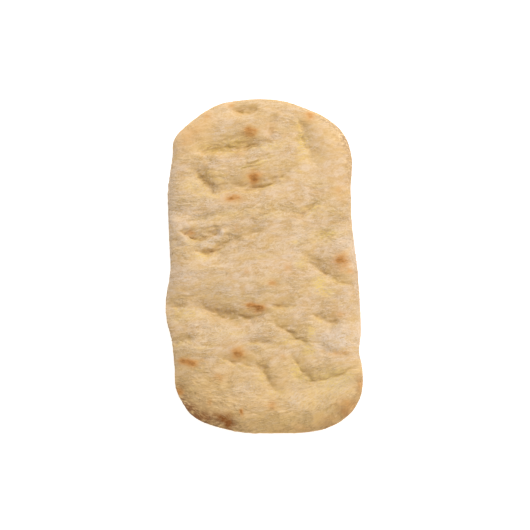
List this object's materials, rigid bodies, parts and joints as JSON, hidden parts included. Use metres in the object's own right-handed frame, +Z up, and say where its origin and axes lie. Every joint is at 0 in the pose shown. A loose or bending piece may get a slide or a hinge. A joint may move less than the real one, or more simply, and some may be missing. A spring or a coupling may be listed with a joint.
{
  "type": "pizza crust",
  "caption": "Long rounded flat pizza crust of baked dough with finger folds and blisters on top, a rounded rim and a flat base, ready for toppings.",
  "frame": {"origin": "middle of the bounding box, on the flat base that the crust rests on", "axes": "+Z up through the thickness, +Y along the length from the broad near end to the domed far end, +X across the width"},
  "size_m": [0.185, 0.334, 0.0174],
  "materials": {
    "baked_dough": "matt, floury baked dough, pale straw with toasted spots and a browned rim"
  },
  "bodies": {
    "root": {"crust": "baked_dough"}
  },
  "joints": []
}
